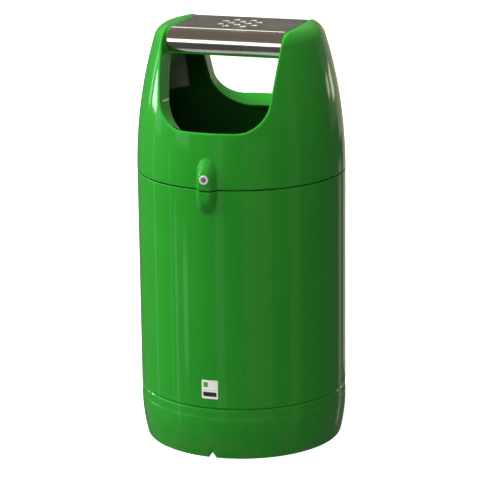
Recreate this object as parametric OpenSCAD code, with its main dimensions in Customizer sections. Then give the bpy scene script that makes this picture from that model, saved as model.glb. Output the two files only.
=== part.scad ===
// Hooded litter bin: moulded base, body and hood, a steel stubber plate on the
// hood's bridge, and a lift-out liner. Millimetres, +Z up, front towards -Y,
// origin on the floor at the middle of the bin.

/* [Overall] */
// Outer radius of the body and hood at the seam
bin_r = 280; // [270:1:290]
// Height of the hood's ears
bin_h = 1130; // [1110:5:1150]
// Height of the seam between body and hood
seam_z = 738; // [732:1:744]
// Wall thickness of the mouldings
wall = 6; // [5:0.5:7]

/* [Base] */
// Height of the base moulding
base_h = 142; // [138:1:150]
// Radius where the base meets the floor
foot_r = 266; // [262:1:270]
// Height of the crease below the base's upright band
crease_z = 114; // [108:1:118]
// Width of the drain notch in the front rim
notch_w = 22; // [16:1:28]
// Height of the drain notch
notch_h = 15; // [10:1:18]
// Pitch circle of the four ground anchors
anchor_pcd = 300; // [290:5:310]
// Radius of a ground anchor hole
anchor_hole_r = 6.5; // [5:0.5:8]

/* [Hood] */
// Radius of the arc that the hood's side follows
side_arc_r = 1240; // [1200:10:1300]
// Radius of the shoulder at the top of the ears
shoulder_r = 45; // [40:1:50]
// Height of an opening's sill above the seam
sill_above_seam = 151; // [145:1:158]
// Half the width of an opening, just above its corners
opening_half_w = 148; // [144:1:152]
// Lean of an opening's sides, outwards
opening_lean = 4.9; // [4:0.1:6]
// Corner radius of an opening
opening_corner_r = 95; // [85:1:100]
// Depth of the reveal round an opening
reveal_depth = 48; // [42:1:52]
// Drop of the sill across that depth
reveal_drop = 31; // [26:1:34]

/* [Bridge] */
// Height of the steel plate's top
plate_top = 1127; // [1120:1:1128]
// Thickness of the steel plate
plate_t = 2; // [1.5:0.5:2.5]
// Half the depth of the plate's flat top
plate_flat = 98; // [94:1:102]
// Half the length of the plate, ear to ear
plate_half_len = 157; // [150:1:158]
// Lower edge of the bridge
bridge_bottom = 1061; // [1058:1:1063]
// Radius of a stub hole
stub_hole_r = 10; // [8:0.5:11]
// Pitch of the stub holes along the bridge
stub_pitch = 46.5; // [44:0.5:48]
// Pitch of the rows of stub holes
stub_row_pitch = 23.5; // [22:0.5:25]

/* [Lock] */
// Height of the lock above the seam
lock_above_seam = 31; // [29:1:33]
// Radius of the lock's face
lock_face_r = 12.5; // [11:0.5:14]
// Projection of the lug that carries the lock
lug_out = 20; // [18:1:22]

/* [Hinge] */
// Width of the hinge
hinge_w = 100; // [90:2:110]
// Radius of the hinge pin
hinge_pin_r = 4; // [3:0.5:4.5]
// Radius of the hinge knuckles
knuckle_r = 7.5; // [7:0.5:8]

/* [Liner] */
// Outer radius of the liner
liner_r = 242; // [238:1:244]
// Height of the liner's rim above the floor
liner_top = 700; // [660:5:700]
// Sheet thickness of the liner
liner_t = 1.5; // [1.2:0.1:2]

/* [Hidden] */
$fn = 96;

// Smallest overlap that keeps cutters clear of the faces they cut
eps = 1;
seam_gap = 2;
body_top = seam_z - seam_gap / 2;
hood_bottom = seam_z + seam_gap / 2;
floor_t = 8;
deck_t = 10;
groove = 3.5;
foot_arc_r = (pow(crease_z, 2) + pow(bin_r - 1 - foot_r, 2)) / (2 * (bin_r - 1 - foot_r));
pot_r = 24;
pot_bore_r = 16;
pot_pad_t = 12;
floor_bolt_pcd = 430;
floor_bolt_r = 5;
ballast_r = 185;
ballast_h = 50;
ballast_z = base_h + floor_t;

side_centre_r = bin_r - side_arc_r;
sill_z = seam_z + sill_above_seam;
corner_z = sill_z - reveal_drop + opening_corner_r;

crease_turn = 15;
crease_run = 14;
nose_r = 32;
lip_r = 60;
lip_turn = 25;
stud_x = 125;
stud_y = 74;
stud_r = 3;
tray_half_x = 112;
tray_half_y = 62;
tray_t = 1.2;
tray_floor = bridge_bottom + 6;
tray_rim_z = plate_top - plate_t - wall;

lug_half_w = 30;
lug_face = bin_r + lug_out;
lug_top_z = seam_z + 86;
lug_bottom_z = seam_z - 67;
lug_bottom_r = 24;
lock_z = seam_z + lock_above_seam;
lock_flange_t = 3;
barrel_r = 11;
plug_r = 7;
run_fit = 0.05;
inner_pad = bin_r - 12;
cam_y = 258;
cam_t = 3;
cam_in_r = 36;
cam_out_r = 44;
keeper_pin_r = 4;
keeper_drop = 30;

spigot_top = seam_z + 12;
spigot_r = bin_r - 9;
ring_bottom = seam_z - 38;
ring_screw_z = seam_z - 22;

pin_y = lug_face + lock_flange_t - knuckle_r;
leaf_face = pin_y - knuckle_r;
leaf_t = 3;
leaf_gap = 10;
leaf_h = 60;
hinge_bolt_x = 32;
hinge_bolt_r = 4;
hinge_bolt_rise = 48;
knuckles = 5;
knuckle_gap = 0.5;

liner_bottom = ballast_z + ballast_h + 0.3;
rim_wire_r = 3;
handle_x = liner_r - 20;
handle_z = liner_top - 35;
handle_half_w = 55;
handle_drop = 60;
handle_r = 3;
eye_y = 62;
eye_t = 6;

// ---------- shared shapes ----------

// Points of an arc from angle a0 to a1
function arc(c, r, a0, a1, n) =
    [for (i = [0:n]) let (a = a0 + (a1 - a0) * i / n) [c[0] + r * cos(a), c[1] + r * sin(a)]];

// One side of the bridge's outline, a depth t below the plate's outer face
function bridge_side(t) =
    let (run_end = [plate_flat + crease_run * cos(crease_turn),
                    plate_top - crease_run * sin(crease_turn)],
         nose_c = run_end - nose_r * [sin(crease_turn), cos(crease_turn)],
         lip_c = [nose_c[0] + nose_r - lip_r, nose_c[1]])
    concat([[plate_flat - t * tan(crease_turn / 2), plate_top - t]],
           arc(nose_c, nose_r - t, 90 - crease_turn, 0, 8),
           [for (p = arc(lip_c, lip_r - t, 0, -lip_turn, 3)) if (p[1] < nose_c[1] - 0.01) p]);

// Whole outline of the bridge: one side, the points of tail below it, and the same mirrored
function bridge_outline(t, tail = []) =
    let (side = concat(bridge_side(t), tail))
    concat(side, [for (i = [len(side) - 1:-1:0]) [-side[i][0], side[i][1]]]);

// Lowest point of the plate's outline
plate_bottom = min([for (p = bridge_side(0)) p[1]]);

// Extrudes a drawing in Y and Z along X, over -half_len to half_len
module along_x(half_len) {
    rotate([90, 0, 90])
        translate([0, 0, -half_len])
            linear_extrude(height = 2 * half_len) children();
}

// Extrudes a drawing in X and Z along Y, from y0 to y1
module along_y(y0, y1) {
    translate([0, y1, 0])
        rotate([90, 0, 0])
            linear_extrude(height = y1 - y0) children();
}

// A cylinder along Y from y0 to y1
module rod_y(x, z, r, y0, y1) {
    translate([x, y1, z])
        rotate([90, 0, 0])
            cylinder(r = r, h = y1 - y0);
}

// A cylinder along X from x0 to x1
module rod_x(y, z, r, x0, x1) {
    translate([x0, y, z])
        rotate([0, 90, 0])
            cylinder(r = r, h = x1 - x0);
}

// A block between two opposite corners
module block(low, high) {
    translate(low) cube(high - low);
}

// Copies its children at the four quarter turns, starting at angle a
module four(a = 45) {
    for (i = [0:3]) rotate([0, 0, a + 90 * i]) children();
}

// ---------- base ----------

// Half section of the base, inset by t: a curved foot below an upright band
module base_section(t) {
    intersection() {
        translate([bin_r - 1 - foot_arc_r, crease_z]) circle(r = foot_arc_r - t, $fn = 360);
        square([bin_r, crease_z]);
    }
    translate([0, crease_z]) square([bin_r - t, base_h - crease_z - groove]);
    polygon([[0, base_h - groove], [bin_r - t, base_h - groove], [bin_r - t - groove, base_h],
             [0, base_h]]);
}

module notch_outline() {
    polygon(concat([[-notch_w / 2, -eps], [notch_w / 2, -eps]],
                   arc([0, notch_h - 6], 6, 20, 160, 6)));
}

module base_plinth() {
    color("darkgreen")
    difference() {
        union() {
            difference() {
                rotate_extrude() base_section(0);
                rotate_extrude()
                    intersection() {
                        base_section(8);
                        square([bin_r, base_h - deck_t]);
                    }
                translate([0, 0, -eps]) cylinder(r = foot_r - 8, h = 2 * eps);
            }
            four() translate([anchor_pcd / 2, 0, 0]) cylinder(r = pot_r, h = base_h - 2);
        }
        four() translate([anchor_pcd / 2, 0, 0]) {
            translate([0, 0, pot_pad_t]) cylinder(r = pot_bore_r, h = base_h);
            translate([0, 0, -eps]) cylinder(r = anchor_hole_r, h = base_h);
        }
        four(0) translate([floor_bolt_pcd / 2, 0, base_h - 2 * deck_t])
            cylinder(r = floor_bolt_r + 0.5, h = 3 * deck_t);
        along_y(-bin_r, -foot_r + 30) notch_outline();
    }
}

module floor_bolts() {
    color("silver")
    four(0) translate([floor_bolt_pcd / 2, 0, 0]) {
        translate([0, 0, ballast_z]) cylinder(r = 12, h = 2);
        translate([0, 0, ballast_z + 2]) cylinder(r = 8.5, h = 6, $fn = 6);
        translate([0, 0, base_h - deck_t - 16]) cylinder(r = floor_bolt_r, h = 16 + deck_t + floor_t);
    }
}

module floor_nuts() {
    color("silver")
    four(0) translate([floor_bolt_pcd / 2, 0, base_h - deck_t])
        difference() {
            union() {
                translate([0, 0, -2]) cylinder(r = 12, h = 2);
                translate([0, 0, -10]) cylinder(r = 8.5, h = 8, $fn = 6);
            }
            translate([0, 0, -12]) cylinder(r = floor_bolt_r, h = 14);
        }
}

module ballast_slab() {
    color("gray")
    translate([0, 0, ballast_z])
        difference() {
            cylinder(r = ballast_r, h = ballast_h);
            four() translate([anchor_pcd / 2, 0, -eps]) cylinder(r = pot_bore_r + 4, h = ballast_h + 2);
        }
}

// ---------- body ----------

// Outline of the lug's part on the body, seen from the front
module lower_lug_outline() {
    difference() {
        union() {
            translate([0, lug_bottom_z + lug_bottom_r]) circle(r = lug_bottom_r);
            polygon([[-lug_half_w, body_top], [lug_half_w, body_top],
                     [lug_bottom_r, lug_bottom_z + lug_bottom_r],
                     [-lug_bottom_r, lug_bottom_z + lug_bottom_r]]);
        }
        translate([-bin_r, body_top]) square([2 * bin_r, bin_r]);
    }
}

module body_shell() {
    color("forestgreen")
    difference() {
        union() {
            rotate_extrude()
                difference() {
                    polygon([[0, base_h], [bin_r - groove, base_h], [bin_r, base_h + groove],
                             [bin_r, body_top - 2], [bin_r - 2, body_top], [0, body_top]]);
                    translate([0, base_h + floor_t]) square([bin_r - wall, bin_h]);
                }
            difference() {
                along_y(-lug_face, -bin_r + 20) lower_lug_outline();
                cylinder(r = bin_r - wall, h = bin_h);
            }
            difference() {
                block([-hinge_w / 2 - 5, bin_r - 30, seam_z - leaf_gap - leaf_h - 2],
                      [hinge_w / 2 + 5, leaf_face, seam_z - 5]);
                translate([0, 0, ring_bottom - 0.5]) cylinder(r = bin_r - wall, h = bin_h);
                block([-bin_r, 0, 0], [bin_r, inner_pad, bin_h]);
            }
        }
        four() translate([anchor_pcd / 2, 0, base_h - 2 * eps]) cylinder(r = pot_bore_r, h = bin_r);
        four(0) translate([floor_bolt_pcd / 2, 0, base_h - eps])
            cylinder(r = floor_bolt_r + 0.5, h = floor_t + 2 * eps);
        hinge_bolt_shanks(-1, 0.3);
        ring_screw_shanks();
    }
}

// Ring screwed inside the top of the body: it centres the hood
module seat_ring() {
    color("dimgray")
    difference() {
        rotate_extrude()
            polygon([[spigot_r - 3, ring_bottom], [bin_r - wall, ring_bottom],
                     [bin_r - wall, body_top - 2], [spigot_r, body_top],
                     [spigot_r, spigot_top], [spigot_r - 3, spigot_top]]);
        ring_screw_shanks();
        keeper_screw_shanks();
    }
}

module ring_screw_shanks() {
    for (i = [0:7]) rotate([0, 0, 22.5 + 45 * i])
        rod_x(0, ring_screw_z, 2, spigot_r - 4, bin_r - 2);
}

module seat_ring_screws() {
    color("silver") {
        ring_screw_shanks();
        for (i = [0:7]) rotate([0, 0, 22.5 + 45 * i])
            rod_x(0, ring_screw_z, 4, spigot_r - 6, spigot_r - 3.1);
    }
}

module rim_buffers() {
    color("black")
    four(41) rotate_extrude(angle = 8)
        translate([bin_r - wall + 0.8, body_top]) square([wall - 3.2, seam_gap - 0.2]);
}

module label_plate() {
    color("white")
    difference() {
        rotate([0, 0, -90 - 4.65])
            rotate_extrude(angle = 9.3)
                translate([bin_r, base_h + 28]) square([0.6, 52]);
        for (x = [-1, 1], z = [0, 1])
            translate([x * 22.6, 0, base_h + 28 + 52 * z]) rotate([90, 45, 0])
                translate([0, 0, bin_r - 10]) cylinder(r = 3.6, h = 20, $fn = 4);
    }
}

// ---------- keeper, on the body ----------

module keeper_screw_shanks() {
    for (x = [-18, 18]) rod_y(x, seam_z - 18, 2, -bin_r + 8, -inner_pad + 9);
}

module keeper_block() {
    color("silver")
    difference() {
        block([-26, -inner_pad, seam_z - 30], [26, -inner_pad + 5, seam_z + 9]);
        difference() {
            cylinder(r = bin_r, h = bin_h, $fn = 360);
            translate([0, 0, -eps]) cylinder(r = spigot_r - 3, h = bin_h + 2 * eps, $fn = 360);
        }
        keeper_screw_shanks();
        rod_y(0, lock_z - keeper_drop, keeper_pin_r, -bin_r, 0);
    }
}

module keeper_pin() {
    color("silver") {
        rod_y(0, lock_z - keeper_drop, keeper_pin_r, -inner_pad + 0.2, -cam_y + cam_t + 3);
        rod_y(0, lock_z - keeper_drop, keeper_pin_r + 2, -inner_pad + 5, -inner_pad + 7);
    }
}

module keeper_screws() {
    color("silver") {
        keeper_screw_shanks();
        for (x = [-18, 18]) rod_y(x, seam_z - 18, 4, -inner_pad + 5, -inner_pad + 7.5);
    }
}

// ---------- hinge ----------

knuckle_len = (hinge_w - (knuckles - 1) * knuckle_gap) / knuckles;
function knuckle_x(i) = -hinge_w / 2 + i * (knuckle_len + knuckle_gap);

// Shanks of the two bolts of one leaf: side -1 is the body's, 1 the hood's
module hinge_bolt_shanks(side, play = 0) {
    for (x = [-hinge_bolt_x, hinge_bolt_x])
        rod_y(x, seam_z + side * hinge_bolt_rise, hinge_bolt_r + play, inner_pad - 12, leaf_face + leaf_t);
}

module hinge_leaf(side, first, bore_r) {
    color("silver")
    difference() {
        union() {
            block([-hinge_w / 2, leaf_face, seam_z + (side > 0 ? leaf_gap : -leaf_gap - leaf_h)],
                  [hinge_w / 2, leaf_face + leaf_t, seam_z + (side > 0 ? leaf_gap + leaf_h : -leaf_gap)]);
            for (i = [first:2:knuckles - 1]) {
                rod_x(pin_y, seam_z, knuckle_r, knuckle_x(i), knuckle_x(i) + knuckle_len);
                block([knuckle_x(i), leaf_face, seam_z + (side > 0 ? 0 : -leaf_gap)],
                      [knuckle_x(i) + knuckle_len, leaf_face + leaf_t, seam_z + (side > 0 ? leaf_gap : 0)]);
            }
        }
        rod_x(pin_y, seam_z, bore_r, -bin_r, bin_r);
        hinge_bolt_shanks(side, 0.3);
    }
}

module hinge_bolts(side) {
    color("silver") {
        hinge_bolt_shanks(side);
        for (x = [-hinge_bolt_x, hinge_bolt_x])
            rod_y(x, seam_z + side * hinge_bolt_rise, 8, leaf_face + leaf_t, leaf_face + leaf_t + 4);
    }
}

module hinge_nuts(side) {
    color("silver")
    difference() {
        for (x = [-hinge_bolt_x, hinge_bolt_x]) {
            rod_y(x, seam_z + side * hinge_bolt_rise, 9, inner_pad - 1.5, inner_pad);
            translate([x, inner_pad - 1.5, seam_z + side * hinge_bolt_rise])
                rotate([90, 0, 0]) cylinder(r = 7.5, h = 5.5, $fn = 6);
        }
        hinge_bolt_shanks(side);
    }
}

module body_hinge_leaf() { hinge_leaf(-1, 0, hinge_pin_r); }
module hood_hinge_leaf() { hinge_leaf(1, 1, hinge_pin_r + run_fit); }
module body_hinge_bolts() { hinge_bolts(-1); }
module hood_hinge_bolts() { hinge_bolts(1); }
module body_hinge_nuts() { hinge_nuts(-1); }
module hood_hinge_nuts() { hinge_nuts(1); }

module hinge_pin() {
    color("silver") {
        rod_x(pin_y, seam_z, hinge_pin_r, -hinge_w / 2, hinge_w / 2);
        for (x = [-hinge_w / 2 - 2, hinge_w / 2])
            rod_x(pin_y, seam_z, hinge_pin_r + 2, x, x + 2);
    }
}

// ---------- hood ----------

// Half section of the hood, inset by t: a long side arc that meets the shoulder's arc.
// It starts at height low.
module hood_section(t, low) {
    turn_r = max(shoulder_r - t, 2);
    turn_z = bin_h - t - turn_r;
    reach = side_arc_r - t - turn_r;
    lean = asin((turn_z - seam_z) / reach);
    start = asin((low - seam_z) / (side_arc_r - t));
    turn_centre = [side_centre_r + reach * cos(lean), turn_z];
    polygon(concat([[0, low]],
                   arc([side_centre_r, seam_z], side_arc_r - t, start, lean, 20),
                   [for (i = [1:8]) let (a = lean + (90 - lean) * i / 8)
                       turn_centre + turn_r * [cos(a), sin(a)]],
                   [[0, bin_h - t]]));
}

// The hood as a solid, or its hollow when it is inset by t and starts lower
module hood_solid(t, low = hood_bottom) {
    rotate_extrude() hood_section(t, low);
}

// Outline of an opening grown by t, seen from the front: it is open above
module opening_outline(t) {
    lean_x = tan(opening_lean);
    side_x = opening_half_w + t;
    corner_x = side_x - opening_corner_r - t;
    polygon([[-corner_x, corner_z - opening_corner_r - t], [corner_x, corner_z - opening_corner_r - t],
             [corner_x, corner_z], [side_x, corner_z],
             [side_x + lean_x * (bin_h + 30 - corner_z), bin_h + 30],
             [-side_x - lean_x * (bin_h + 30 - corner_z), bin_h + 30],
             [-side_x, corner_z], [-corner_x, corner_z]]);
    for (s = [-1, 1]) translate([s * corner_x, corner_z]) circle(r = opening_corner_r + t);
}

// Everything above a sill that falls towards the middle of the bin, lowered by t
module above_sill(t) {
    slope = reveal_drop / reveal_depth;
    drop = t / cos(atan(slope));
    edge = bin_r + 40 - t;
    rotate_extrude()
        polygon([[0, sill_z - (bin_r - 8) * slope - drop], [edge, sill_z + (edge - bin_r + 8) * slope - drop],
                 [edge, bin_h + 20 - t], [0, bin_h + 20 - t]]);
}

// The space through both openings, grown by t
module throw_space(t) {
    intersection() {
        along_y(-bin_r - 30 + t, bin_r + 30 - t) opening_outline(t);
        above_sill(t);
    }
}

// Wall of the bridge: it carries the plate, with a lip below the plate's edge
module bridge_wall() {
    wall_y = last_y(plate_t);
    lip_top = plate_bottom - 0.5;
    along_x(plate_half_len + 5)
        difference() {
            polygon(bridge_outline(plate_t, [[wall_y, lip_top], [wall_y + plate_t, lip_top],
                                             [wall_y + plate_t, bridge_bottom]]));
            polygon(bridge_outline(plate_t + wall, [[last_y(plate_t + wall), bridge_bottom - 20]]));
        }
}

// How far from the middle the outline ends, a depth t below the plate's face
function last_y(t) = let (side = bridge_side(t)) side[len(side) - 1][0];

module stub_holes() {
    rows = [2, 3, 2, 3, 2];
    for (k = [0:len(rows) - 1], i = [0:rows[k] - 1])
        translate([(i - (rows[k] - 1) / 2) * stub_pitch, (2 - k) * stub_row_pitch, plate_top - 30])
            cylinder(r = stub_hole_r, h = 40);
}

module stud_shanks(play = 0) {
    for (x = [-stud_x, stud_x], y = [-stud_y, stud_y])
        translate([x, y, tray_rim_z - 18]) cylinder(r = stud_r + play, h = 18 + wall);
}

module upper_lug_outline() {
    translate([0, lug_top_z - lug_half_w]) circle(r = lug_half_w);
    translate([-lug_half_w, hood_bottom])
        square([2 * lug_half_w, lug_top_z - lug_half_w - hood_bottom]);
}

// The hood's skin, cut through by the openings
module hood_skin() {
    difference() {
        hood_solid(0);
        hood_solid(wall, seam_z - 10);
        throw_space(0);
    }
}

// The moulding turned inwards round each opening, and past the bridge's ends
module reveals() {
    difference() {
        intersection() {
            hood_solid(0.5);
            throw_space(wall);
        }
        hood_solid(reveal_depth, seam_z - 10);
        throw_space(0);
    }
}

// Boss for the lock at the front, with a flat seat inside for its nut
module lock_lug() {
    difference() {
        along_y(-lug_face, -bin_r + 20) upper_lug_outline();
        hood_solid(wall - 0.5, seam_z - 10);
    }
    rod_y(0, lock_z, 17, -inner_pad - 7, -inner_pad);
}

// Thickened seat for the hood's leaf of the hinge
module hinge_seat() {
    block([-hinge_w / 2 - 5, inner_pad, spigot_top + 2],
          [hinge_w / 2 + 5, leaf_face, seam_z + leaf_gap + leaf_h + 2]);
    difference() {
        block([-hinge_w / 2 - 5, bin_r - 20, seam_z + 5],
              [hinge_w / 2 + 5, leaf_face, spigot_top + 3]);
        cylinder(r = bin_r - wall, h = bin_h, $fn = 360);
    }
}

module hood_shell() {
    color("forestgreen")
    difference() {
        union() {
            hood_skin();
            reveals();
            bridge_wall();
            lock_lug();
            hinge_seat();
        }
        rod_y(0, lock_z, barrel_r + 0.1, -bin_r - 40, -bin_r + 40);
        hinge_bolt_shanks(1, 0.3);
        stub_holes();
        stud_shanks(0.3);
    }
}

module stubber_plate() {
    color("silver")
    difference() {
        along_x(plate_half_len)
            difference() {
                polygon(bridge_outline(0));
                polygon(bridge_outline(plate_t, [[last_y(plate_t), bridge_bottom]]));
            }
        stub_holes();
    }
}

module plate_studs() {
    color("silver") stud_shanks();
}

module wing_nuts() {
    color("silver")
    for (x = [-stud_x, stud_x], y = [-stud_y, stud_y])
        translate([x, y, tray_rim_z - tray_t - 6])
            difference() {
                union() {
                    cylinder(r = 6, h = 6);
                    block([-11, -1.2, -5], [11, 1.2, 4]);
                }
                translate([0, 0, -10]) cylinder(r = stud_r, h = 20);
            }
}

module ash_tray() {
    color("lightgray")
    difference() {
        union() {
            block([-tray_half_x, -tray_half_y, tray_floor], [tray_half_x, tray_half_y, tray_rim_z]);
            block([-tray_half_x - 24, -tray_half_y - 22, tray_rim_z - tray_t],
                  [tray_half_x + 24, tray_half_y + 22, tray_rim_z]);
        }
        block([-tray_half_x + tray_t, -tray_half_y + tray_t, tray_floor + tray_t],
              [tray_half_x - tray_t, tray_half_y - tray_t, tray_rim_z + eps]);
        stud_shanks(0.3);
    }
}

// ---------- lock, on the hood ----------

module lock_housing() {
    color("silver")
    difference() {
        union() {
            rod_y(0, lock_z, lock_face_r, -lug_face - lock_flange_t, -lug_face);
            rod_y(0, lock_z, barrel_r, -lug_face, -inner_pad + 6);
        }
        rod_y(0, lock_z, plug_r + run_fit, -lug_face - 10, 0);
    }
}

module lock_nut() {
    color("silver")
    difference() {
        translate([0, -inner_pad + 5, lock_z]) rotate([90, 0, 0]) cylinder(r = 16, h = 5, $fn = 6);
        rod_y(0, lock_z, barrel_r, -bin_r, 0);
    }
}

module lock_plug() {
    color("gray")
    difference() {
        union() {
            rod_y(0, lock_z, plug_r, -lug_face - lock_flange_t + 1, -cam_y - 0.5);
            rod_y(0, lock_z, 4, -cam_y - 0.5, -cam_y + cam_t + 5);
        }
        translate([0, -lug_face - lock_flange_t + 4, lock_z])
            rotate([90, 30, 0]) cylinder(r = 4.5, h = 10, $fn = 3);
    }
}

// Hooked cam: at rest it points away from the keeper, a quarter turn hooks it below the pin
module lock_cam() {
    color("silver")
    translate([0, -cam_y - 0.5, lock_z]) rotate([90, 0, 0]) translate([0, 0, -cam_t])
        difference() {
            union() {
                cylinder(r = 10, h = cam_t);
                rotate([0, 0, 145]) block([0, -4, 0], [cam_out_r - 1, 4, cam_t]);
                rotate([0, 0, 140]) rotate_extrude(angle = 50)
                    translate([cam_in_r, 0]) square([cam_out_r - cam_in_r, cam_t]);
            }
            translate([0, 0, -eps]) cylinder(r = 4, h = cam_t + 2 * eps);
        }
}

module cam_nut() {
    color("silver")
    difference() {
        translate([0, -cam_y + cam_t + 3.5, lock_z]) rotate([90, 0, 0]) cylinder(r = 7.5, h = 4, $fn = 6);
        rod_y(0, lock_z, 4, -bin_r, 0);
    }
}

// ---------- liner ----------

module liner_tub() {
    color("lightgray")
    difference() {
        rotate_extrude()
            difference() {
                translate([0, liner_bottom]) square([liner_r, liner_top - liner_bottom]);
                translate([0, liner_bottom + 10 + liner_t]) square([liner_r - liner_t, bin_h]);
                translate([0, liner_bottom - eps]) square([liner_r - liner_t, 10 + eps]);
            }
        eye_rivet_shanks();
    }
}

// Rolled wire bead round the liner's top edge
module liner_rim() {
    color("lightgray")
    rotate_extrude() translate([liner_r + rim_wire_r, liner_top - rim_wire_r]) circle(r = rim_wire_r);
}

module eye_rivet_shanks() {
    for (sx = [-1, 1], sy = [-1, 1])
        rod_x(sy * (eye_y + 8), handle_z, 2.5, sx > 0 ? handle_x + 4 : -liner_r - 1,
              sx > 0 ? liner_r + 1 : -handle_x - 4);
}

module handle_eyes() {
    color("silver")
    difference() {
        for (sx = [-1, 1], sy = [-1, 1]) intersection() {
            union() {
                block([sx > 0 ? handle_x - 5 : -liner_r, sy * (eye_y + eye_t / 2) - (sy > 0 ? eye_t : 0),
                       handle_z - 8],
                      [sx > 0 ? liner_r : -handle_x + 5, sy * (eye_y + eye_t / 2) + (sy > 0 ? 0 : eye_t),
                       handle_z + 8]);
                block([sx > 0 ? handle_x + 4 : -liner_r, sy * (eye_y + 8) - 8, handle_z - 8],
                      [sx > 0 ? liner_r : -handle_x - 4, sy * (eye_y + 8) + 8, handle_z + 8]);
            }
            cylinder(r = liner_r - liner_t, h = bin_h, $fn = 360);
        }
        for (sx = [-1, 1]) rod_y(sx * handle_x, handle_z, handle_r + run_fit, -90, 90);
        eye_rivet_shanks();
    }
}

module eye_rivets() {
    color("silver") {
        eye_rivet_shanks();
        for (sx = [-1, 1], sy = [-1, 1])
            rod_x(sy * (eye_y + 8), handle_z, 4.5, sx > 0 ? liner_r + 0.5 : -liner_r - 2,
                  sx > 0 ? liner_r + 2 : -liner_r - 0.5);
    }
}

// Drop handle: a bent rod with a sleeve on its grip, hung in two eyes
module drop_handle(side) {
    color("silver")
    translate([side * handle_x, 0, handle_z]) {
        for (s = [-1, 1]) {
            rod_y(0, 0, handle_r, s > 0 ? handle_half_w : -eye_y - 6, s > 0 ? eye_y + 6 : -handle_half_w);
            translate([0, s * handle_half_w, 0]) sphere(r = handle_r);
            translate([0, s * handle_half_w, -handle_drop]) cylinder(r = handle_r, h = handle_drop);
            translate([0, s * handle_half_w, -handle_drop]) sphere(r = handle_r);
        }
        rod_y(0, -handle_drop, handle_r, -handle_half_w, handle_half_w);
        rod_y(0, -handle_drop, handle_r + 3, -handle_half_w + 8, handle_half_w - 8);
    }
}

module left_handle() { drop_handle(-1); }
module right_handle() { drop_handle(1); }

base_plinth();
body_shell();
floor_bolts();
floor_nuts();
ballast_slab();
seat_ring();
seat_ring_screws();
rim_buffers();
label_plate();
keeper_block();
keeper_pin();
keeper_screws();
body_hinge_leaf();
body_hinge_bolts();
body_hinge_nuts();
hinge_pin();
hood_shell();
hood_hinge_leaf();
hood_hinge_bolts();
hood_hinge_nuts();
stubber_plate();
plate_studs();
wing_nuts();
ash_tray();
lock_housing();
lock_nut();
lock_plug();
lock_cam();
cam_nut();
liner_tub();
liner_rim();
handle_eyes();
eye_rivets();
left_handle();
right_handle();
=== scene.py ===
"""Looks for a hooded litter bin: green mouldings, a steel stubber plate, a lock and a label."""

import math

import bmesh
import bpy
import numpy as np
from mathutils import Matrix, Vector


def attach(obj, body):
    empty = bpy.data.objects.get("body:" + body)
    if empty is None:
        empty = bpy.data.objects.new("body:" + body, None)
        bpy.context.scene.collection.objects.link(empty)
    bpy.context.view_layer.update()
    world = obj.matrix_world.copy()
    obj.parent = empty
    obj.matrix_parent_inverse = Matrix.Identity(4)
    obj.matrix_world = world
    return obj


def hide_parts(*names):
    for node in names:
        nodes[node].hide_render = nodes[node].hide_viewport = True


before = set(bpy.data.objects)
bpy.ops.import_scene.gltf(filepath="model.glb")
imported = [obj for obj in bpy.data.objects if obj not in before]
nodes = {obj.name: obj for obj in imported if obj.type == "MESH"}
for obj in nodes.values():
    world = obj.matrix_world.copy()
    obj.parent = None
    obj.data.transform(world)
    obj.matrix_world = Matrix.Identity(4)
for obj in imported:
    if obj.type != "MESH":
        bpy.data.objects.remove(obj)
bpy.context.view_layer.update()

MM = 0.001

# Sizes are in millimetres, and those of the mouldings follow the CAD part.
# The bin's outline: body, base, and the hood's side arc and shoulder
BIN_R, BIN_H, WALL = 280.0, 1130.0, 6.0
SEAM_Z, SEAM_GAP = 738.0, 2.0
BODY_TOP, HOOD_BOTTOM = SEAM_Z - SEAM_GAP / 2, SEAM_Z + SEAM_GAP / 2
BASE_H, FLOOR_T, FOOT_R, CREASE_Z, GROOVE = 142.0, 8.0, 266.0, 114.0, 2.2
SIDE_ARC_R, SHOULDER_R = 1240.0, 45.0
SIDE_CENTRE_R = BIN_R - SIDE_ARC_R
TURN_Z = BIN_H - SHOULDER_R
LEAN = math.asin((TURN_Z - SEAM_Z) / (SIDE_ARC_R - SHOULDER_R))
TURN_R = SIDE_CENTRE_R + (SIDE_ARC_R - SHOULDER_R) * math.cos(LEAN)

# The throw openings, and how they narrow towards the inside
SILL_Z, SILL_DROP, REVEAL_DEPTH, REVEAL_INSET = 889.5, 31.0, 48.0, 5.5
OPENING_Z, OPENING_HALF, OPENING_SPLAY, OPENING_BOW = 950.0, 148.6, 0.122, 0.00022
CORNER_R, CORNER_GAIN, LEAN_SHARE, SLOPE_SHARE = 62.0, 30.0, 0.993, 0.84

# The steel plate's section, its stub holes, and the bridge under it
PLATE_TOP, PLATE_T, PLATE_FLAT, PLATE_HALF = 1127.0, 2.0, 98.0, 157.0
CREASE_TURN, CREASE_RUN, BEND_R = math.radians(15), 14.0, 22.0
NOSE_R, LIP_R, LIP_TURN, LIP_END_Z = 32.0, 60.0, math.radians(25), 1067.2
HOLE_R, HOLE_PITCH, HOLE_ROW, HOLES_ABOVE = 10.0, 46.5, 23.5, 1080.0
BRIDGE_BOTTOM, BRIDGE_HALF = 1061.0, 175.0
RUN_END = np.array([PLATE_FLAT + CREASE_RUN * math.cos(CREASE_TURN),
                    PLATE_TOP - CREASE_RUN * math.sin(CREASE_TURN)])
NOSE_C = RUN_END - NOSE_R * np.array([math.sin(CREASE_TURN), math.cos(CREASE_TURN)])
LIP_C = np.array([NOSE_C[0] + NOSE_R - LIP_R, NOSE_C[1]])

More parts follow.
